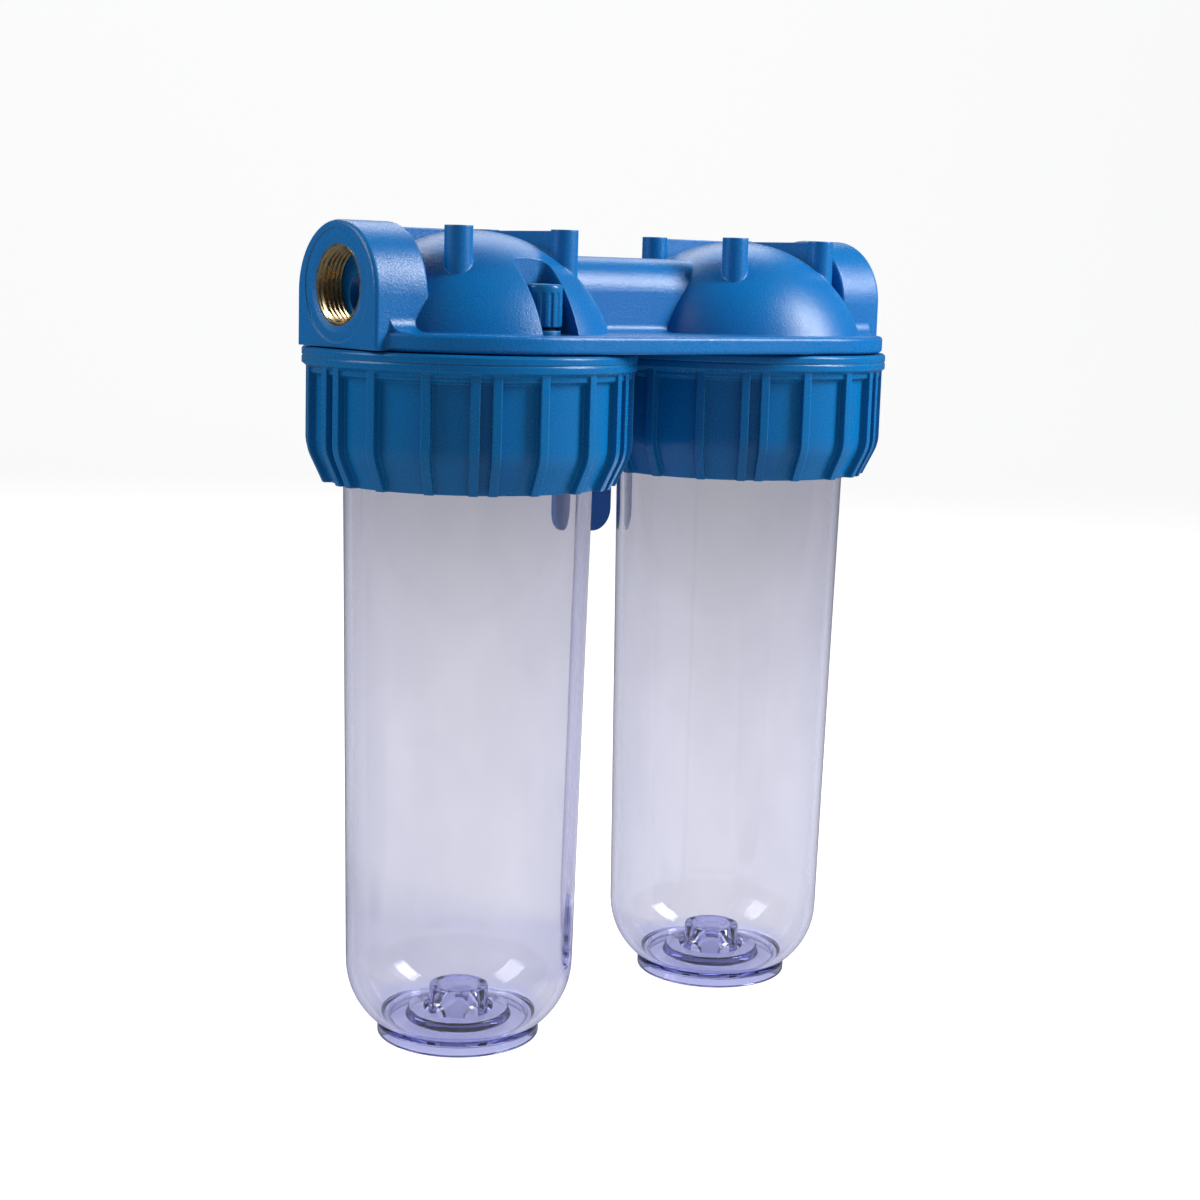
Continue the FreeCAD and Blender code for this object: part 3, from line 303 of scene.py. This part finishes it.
def turned(centre, spoke, angle):
    """The (r, z) point at the end of a spoke from a centre, after the spoke turns by an angle."""
    cosine, sine = math.cos(angle), math.sin(angle)
    return (
        centre.x + spoke.x * cosine - spoke.y * sine,
        centre.y + spoke.x * sine + spoke.y * cosine,
    )


def rounded(outline, radii):
    """An outline of (r, z) corners with some corners replaced by arcs: radii maps corner to radius."""
    count = len(outline)
    points = []
    for i, corner in enumerate(outline):
        radius = radii.get(i, 0.0)
        if not radius:
            points.append(corner)
            continue
        here = Vector(corner)
        before = (Vector(outline[i - 1]) - here).normalized()
        after = (Vector(outline[(i + 1) % count]) - here).normalized()
        half = before.angle(after) / 2
        centre = here + (before + after).normalized() * (radius / math.sin(half))
        spoke = here + before * (radius / math.tan(half)) - centre
        way = 1 if before.x * after.y - before.y * after.x < 0 else -1
        swing = way * (math.pi - 2 * half)
        points += [turned(centre, spoke, swing * step / FILLET_STEPS) for step in range(FILLET_STEPS + 1)]
    return points


def arc(start, end, radius, bulge):
    """Points strictly between two corners on an arc; bulge is +1 for the left of the way there."""
    first, last = Vector(start), Vector(end)
    chord = last - first
    rise = math.sqrt(radius ** 2 - chord.length_squared / 4)
    side = Vector((-chord.y, chord.x)).normalized()
    centre = (first + last) / 2 - side * rise * bulge
    swing = 2 * math.asin(chord.length / 2 / radius) * -bulge
    return [turned(centre, first - centre, swing * step / ARC_STEPS) for step in range(1, ARC_STEPS)]


def about(place, r, angle, z):
    """The point at (r, z) millimetres and an angle about the upright axis through place."""
    return place + Vector((r * MM * math.cos(angle), r * MM * math.sin(angle), z * MM))


def lathe(made, outline, place):
    """Spin a closed (r, z) outline in millimetres about the upright axis through place."""
    columns = []
    for r, z in outline:
        if r == 0:
            columns.append([made.verts.new(about(place, 0, 0, z))] * LATHE_SEGMENTS)
            continue
        angles = (FULL_TURN * s / LATHE_SEGMENTS for s in range(LATHE_SEGMENTS))
        columns.append([made.verts.new(about(place, r, angle, z)) for angle in angles])
    for first, second in zip(columns, columns[1:] + columns[:1]):
        if first[0] is first[1] and second[0] is second[1]:
            continue
        for s in range(LATHE_SEGMENTS):
            following = (s + 1) % LATHE_SEGMENTS
            corners = [first[s], first[following], second[following], second[s]]
            made.faces.new(list(dict.fromkeys(corners)))


def skin(made, sections):
    """Join closed sections of vertices, and the last to the first, with quads."""
    for first, second in zip(sections, sections[1:] + sections[:1]):
        count = len(first)
        for i in range(count):
            j = (i + 1) % count
            made.faces.new((first[i], second[i], second[j], first[j]))


def new_piece(name, made, node, body, slot_name, sharp):
    """Turn a bmesh in metres into a piece that stands for a CAD node; sharp is in degrees."""
    bmesh.ops.recalc_face_normals(made, faces=made.faces)
    mesh = bpy.data.meshes.new(name)
    made.to_mesh(mesh)
    made.free()
    mesh.shade_smooth()
    mesh.set_sharp_from_angle(angle=math.radians(sharp))
    piece = bpy.data.objects.new(name, mesh)
    scene.collection.objects.link(piece)
    dress(piece, slot_name)
    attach(piece, body)
    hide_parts(node)


# ------------------------------------------------------------------ clear bowls

# Millimetres. Heights are below the port axis.
BOWL_TOP, LEAD_IN = -30.0, -31.2
GROOVE_TOP, GROOVE_LOW = -36.2, -39.8
COLLAR_TOP, COLLAR_LOW = -46.0, -52.0
CORNER_TOP, CORNER_LOW = -252.0, -273.2
RING_TOP, LEDGE, BOWL_FLOOR = -271.4, -273.4, -274.4
FOOT_TOP, UNDERSIDE, FOOT_LOW = -274.6, -277.4, -280.8

MOUTH_INSIDE, MOUTH_OUTSIDE = 43.4, 48.3
GROOVE, PLUG, COLLAR = 46.7, 49.5, 52.2
WALL_OUTSIDE_TOP, WALL_OUTSIDE_LOW, WALL_INSIDE_LOW = 46.0, 42.92, 39.82
CORNER_OUTSIDE, CORNER_OUTSIDE_CURVE = 33.4, 29.4
CORNER_INSIDE, CORNER_INSIDE_CURVE = 29.4, 27.7
FOOT_OUTSIDE, FOOT_INSIDE, UNDERSIDE_RADIUS = 30.7, 27.4, 26.8
RING_INSIDE_LOW, RING_INSIDE, RING_OUTSIDE, RING_OUTSIDE_LOW = 12.6, 13.4, 19.3, 20.2
FLOOR_RADIUS, LEDGE_RADIUS = 26.4, 27.0

CUP_TOP = -262.35
CUP_MIDDLE, CUP_ARCHES, CUP_SINK = 10.0, 4, 0.3
ARCH_HALF_WIDTH, ARCH_HEIGHT = 4.6, 5.6


def bowl_outline():
    """The wall of a bowl from its mouth round the outside, the foot and back up the inside."""
    plug = [
        (MOUTH_INSIDE, BOWL_TOP), (MOUTH_OUTSIDE, BOWL_TOP), (PLUG, LEAD_IN), (PLUG, GROOVE_TOP),
        (GROOVE, GROOVE_TOP), (GROOVE, GROOVE_LOW), (PLUG, GROOVE_LOW), (PLUG, COLLAR_TOP),
        (COLLAR, COLLAR_TOP), (COLLAR, COLLAR_LOW), (WALL_OUTSIDE_TOP, COLLAR_LOW),
    ]
    outside_low, outside_end = (WALL_OUTSIDE_LOW, CORNER_TOP), (CORNER_OUTSIDE, CORNER_LOW)
    inside_low, inside_end = (WALL_INSIDE_LOW, CORNER_TOP), (CORNER_INSIDE, CORNER_LOW)
    foot = [
        outside_end, (FOOT_OUTSIDE, FOOT_TOP), (FOOT_OUTSIDE, FOOT_LOW), (FOOT_INSIDE, FOOT_LOW),
        (UNDERSIDE_RADIUS, UNDERSIDE), (0.0, UNDERSIDE), (0.0, BOWL_FLOOR),
        (RING_INSIDE_LOW, BOWL_FLOOR), (RING_INSIDE, RING_TOP), (RING_OUTSIDE, RING_TOP),
        (RING_OUTSIDE_LOW, BOWL_FLOOR), (FLOOR_RADIUS, BOWL_FLOOR), (LEDGE_RADIUS, LEDGE), inside_end,
    ]
    above = plug + [outside_low] + arc(outside_low, outside_end, CORNER_OUTSIDE_CURVE, 1)
    below = foot + arc(inside_end, inside_low, CORNER_INSIDE_CURVE, -1) + [inside_low]
    radii = {0: 0.5, 7: 0.4, 8: 0.8, 9: 0.8, 10: 2.5}
    foot_radii = {1: 0.6, 2: 0.9, 3: 0.9, 4: 1.0, 7: 0.5, 8: 0.9, 9: 1.1, 10: 0.5}
    radii.update({len(above) + corner: radius for corner, radius in foot_radii.items()})
    return rounded(above + below, radii)


def bowl_place(node):
    """The point on a bowl's axis at the height of the port axis."""
    low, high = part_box(node)
    return Vector(((low.x + high.x) / 2, (low.y + high.y) / 2, high.z - BOWL_TOP * MM))


def cup_samples():
    """(angle, lift of the foot) round the cup, with an arched opening in every part of the turn."""
    arch_steps, gap_steps, step_aside = 8, 10, 0.002
    part_turn = FULL_TURN / CUP_ARCHES
    edge = ARCH_HALF_WIDTH / CUP_MIDDLE
    gap = part_turn - 2 * edge
    samples = []
    for number in range(CUP_ARCHES):
        middle = number * part_turn
        samples.append((middle - edge - step_aside, -CUP_SINK))
        for step in range(2 * arch_steps + 1):
            offset = edge * (step / arch_steps - 1)
            across = offset * CUP_MIDDLE / ARCH_HALF_WIDTH
            samples.append((middle + offset, ARCH_HEIGHT * math.sqrt(max(1.0 - across ** 2, 0.0))))
        samples.append((middle + edge + step_aside, -CUP_SINK))
        samples += [(middle + edge + gap * step / gap_steps, -CUP_SINK) for step in range(1, gap_steps)]
    return samples


def floor_cup(made, place):
    """The slotted cup that centres a cartridge on the bowl's floor."""
    sections = []
    for angle, lift in cup_samples():
        foot = BOWL_FLOOR + lift
        section = (
            (8.6, foot), (8.4, CUP_TOP - 0.55), (8.5, CUP_TOP - 0.15), (8.85, CUP_TOP),
            (10.5, CUP_TOP), (11.0, CUP_TOP - 0.15), (11.15, CUP_TOP - 0.55), (11.4, foot),
        )
        sections.append([made.verts.new(about(place, r, angle, z)) for r, z in section])
    skin(made, sections)


def make_bowl(side):
    node, body = f"{side}_bowl", f"{side}_bowl_body"
    place = bowl_place(node)
    wall = bmesh.new()
    lathe(wall, bowl_outline(), place)
    new_piece(f"{side}_clear_wall", wall, node, body, "clear_bowl", sharp=50)
    cup = bmesh.new()
    floor_cup(cup, place)
    new_piece(f"{side}_floor_cup", cup, node, body, "clear_bowl", sharp=35)


# ------------------------------------------------------------------ brass inserts

# Millimetres. Depths are behind the port face.
INSERT_MOUTH, INSERT_END, MOUTH_BEVEL = 1.0, 11.0, 0.15
NECK_END, HEX_START, HEX_END, GLAND_START, GLAND_END = 3.0, 3.6, 7.4, 8.1, 10.3
FACE_RADIUS, NECK_RADIUS, BARREL_RADIUS, GLAND_RADIUS, HEX_CORNER = 13.95, 14.1, 17.0, 15.0, 18.4
SHARP_STEP = 0.01
THREAD_PITCH, THREAD_CREST, THREAD_DEPTH = 1.814, 12.06, 1.16
MOUTH_RADIUS, MOUTH_SLOPE = 13.35, 1.3
INSERT_SEGMENTS, ROWS_PER_PITCH = 96, 12


def insert_outside(x, angle):
    """Radius of an insert's outside at a depth x behind the port face."""
    if x < NECK_END:
        return NECK_RADIUS
    if HEX_START <= x <= HEX_END:
        side_turn = FULL_TURN / 6
        flat = HEX_CORNER * math.cos(side_turn / 2)
        off_flat = (angle + side_turn / 2) % side_turn - side_turn / 2
        return max(BARREL_RADIUS, flat / math.cos(off_flat))
    if GLAND_START <= x <= GLAND_END:
        return GLAND_RADIUS
    return BARREL_RADIUS


def insert_inside(x, angle):
    """Radius of the threaded bore: 55 degree ridges with flattened tops behind a chamfer."""
    phase = (x / THREAD_PITCH - angle / FULL_TURN) % 1.0
    ridge = 1.18 * abs(phase * 2 - 1) - 0.09
    depth = min(max(ridge, 0.0), 1.0)
    chamfer = MOUTH_RADIUS - (x - INSERT_MOUTH) * MOUTH_SLOPE
    return max(THREAD_CREST + THREAD_DEPTH * depth, chamfer)


def make_insert(side, face_x, way):
    """A threaded insert behind the port face at face_x millimetres; way is +1 when it goes along +X."""
    made = bmesh.new()
    outside = [
        INSERT_MOUTH + MOUTH_BEVEL, NECK_END - SHARP_STEP, NECK_END, HEX_START - SHARP_STEP,
        HEX_START, HEX_END, HEX_END + SHARP_STEP, GLAND_START - SHARP_STEP,
        GLAND_START, GLAND_END, GLAND_END + SHARP_STEP, INSERT_END,
    ]
    length = INSERT_END - INSERT_MOUTH
    rows = int(length / THREAD_PITCH * ROWS_PER_PITCH)
    inside = [INSERT_END - length * i / rows for i in range(rows + 1)]
    sections = []
    for s in range(INSERT_SEGMENTS):
        angle = FULL_TURN * s / INSERT_SEGMENTS
        section = [(INSERT_MOUTH, FACE_RADIUS)]
        section += [(x, insert_outside(x, angle)) for x in outside]
        section += [(x, insert_inside(x, angle)) for x in inside]
        sections.append([
            made.verts.new(((face_x + way * x) * MM, r * MM * math.cos(angle), r * MM * math.sin(angle)))
            for x, r in section
        ])
    skin(made, sections)
    new_piece(f"{side}_threaded_insert", made, f"{side}_port_insert", "head_body", "brass", sharp=30)


head_low, head_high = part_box("head")
make_insert("left", head_low.x / MM, 1)
make_insert("right", head_high.x / MM, -1)
make_bowl("left")
make_bowl("right")


# ------------------------------------------------------------------ studio

# Angles in degrees: an azimuth is 0 along +Y and grows towards -X.
SWEEP_AZIMUTH = -40
VIEW_AZIMUTH, VIEW_DOWN, VIEW_ROLL = -40.2255, 8.8774, 1.6824
VIEW_OFFSET = Vector((-0.52059, -0.6145, 0.02611))


def make_floor():
    """A pale sweep: a flat floor that curves up into a backdrop far behind the object."""
    floor_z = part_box("left_bowl")[0].z - 0.4 * MM
    near, reach, bend, rise, half_width, bend_steps = -4.0, 2.2, 0.9, 3.0, 5.0, 16
    profile = [(near, 0.0), (reach, 0.0)]
    for step in range(1, bend_steps + 1):
        angle = math.pi / 2 * step / bend_steps
        profile.append((reach + bend * math.sin(angle), bend * (1 - math.cos(angle))))
    profile.append((reach + bend, rise))
    mesh = bpy.data.meshes.new("sweep")
    made = bmesh.new()
    rows = [[made.verts.new((x, y, floor_z + z)) for x in (-half_width, half_width)] for y, z in profile]
    for first, second in zip(rows, rows[1:]):
        made.faces.new((first[0], first[1], second[1], second[0]))
    made.to_mesh(mesh)
    made.free()
    mesh.shade_smooth()
    mesh.materials.append(sweep_material())
    floor = bpy.data.objects.new("sweep", mesh)
    floor.rotation_euler = (0, 0, math.radians(SWEEP_AZIMUTH))
    scene.collection.objects.link(floor)


def sweep_material():
    """Pale and self-lit, with its own brightness for camera rays, rays through glass and mirror rays."""
    to_camera, through_glass, elsewhere, mirror_share = 0.80, 0.42, 0.16, 0.3
    graph = Graph("pale_sweep")
    path = graph.node("ShaderNodeLightPath")
    through = graph.remap(path.outputs["Is Transmission Ray"], 0.0, 1.0, elsewhere, through_glass)
    outside = graph.math("SUBTRACT", 1.0, path.outputs["Is Transmission Ray"])
    mirrored = graph.math("MULTIPLY", path.outputs["Is Glossy Ray"], outside)
    seen = graph.remap(path.outputs["Is Camera Ray"], 0.0, 1.0, 0.0, to_camera)
    unseen = graph.math("MULTIPLY", through, graph.remap(mirrored, 0.0, 1.0, 1.0, mirror_share))
    pale = graph.mix(mirrored, rgb(0.5, 0.5, 0.5), rgb(0.10, 0.10, 0.11))
    return graph.finish(graph.principled(
        Base_Color=pale, Roughness=0.8, Specular_IOR_Level=0.2,
        Emission_Color=rgb(1, 1, 1), Emission_Strength=graph.math("MAXIMUM", unseen, seen),
    ))


def soft_light(name, aim, offset, power, width, height):
    """A rectangular lamp of a power in watts, at an offset in metres from the point it aims at."""
    data = bpy.data.lights.new(name, "AREA")
    data.shape = "RECTANGLE"
    data.size, data.size_y = width, height
    data.energy = power
    light = bpy.data.objects.new(name, data)
    light.location = aim + Vector(offset)
    light.rotation_euler = (-Vector(offset)).to_track_quat("-Z", "Y").to_euler()
    scene.collection.objects.link(light)


def make_lights(head):
    """A key box on the right, a weaker one on the left and one behind, all above the head."""
    soft_light("key_softbox", head, (0.62, -0.66, 0.55), power=17, width=0.32, height=0.6)
    soft_light("left_softbox", head, (-0.95, 0.45, 0.60), power=7, width=0.5, height=0.7)
    soft_light("back_softbox", head, (0.55, 0.95, 0.95), power=8, width=1.2, height=0.7)


def make_world():
    """A pale surrounding that counts less for glossy rays."""
    world = bpy.data.worlds.new("studio")
    world.use_nodes = True
    tree = world.node_tree
    back = tree.nodes["Background"]
    back.inputs["Color"].default_value = rgb(0.93, 0.95, 1.0)
    path = tree.nodes.new("ShaderNodeLightPath")
    dim = tree.nodes.new("ShaderNodeMapRange")
    dim.inputs["To Min"].default_value = 0.22
    dim.inputs["To Max"].default_value = 0.04
    tree.links.new(path.outputs["Is Glossy Ray"], dim.inputs["Value"])
    tree.links.new(dim.outputs["Result"], back.inputs["Strength"])
    scene.world = world


def make_camera(head):
    """The view from the front left, a little above the ring nuts, looking slightly down."""
    data = bpy.data.cameras.new("camera")
    data.sensor_width = 36.0
    data.lens = 62.465
    data.clip_start, data.clip_end = 0.01, 50.0
    camera = bpy.data.objects.new("camera", data)
    azimuth = Matrix.Rotation(math.radians(VIEW_AZIMUTH), 4, "Z")
    tilt = Matrix.Rotation(math.radians(90 - VIEW_DOWN), 4, "X")
    roll = Matrix.Rotation(math.radians(VIEW_ROLL), 4, "Z")
    camera.matrix_world = Matrix.Translation(head + VIEW_OFFSET) @ azimuth @ tilt @ roll
    scene.collection.objects.link(camera)
    scene.camera = camera


head_middle = Vector(((cad_low.x + cad_high.x) / 2, 0.0, -0.02))
make_floor()
make_lights(head_middle)
make_world()
make_camera(head_middle)
scene.view_settings.view_transform = "Standard"
scene.view_settings.look = "None"
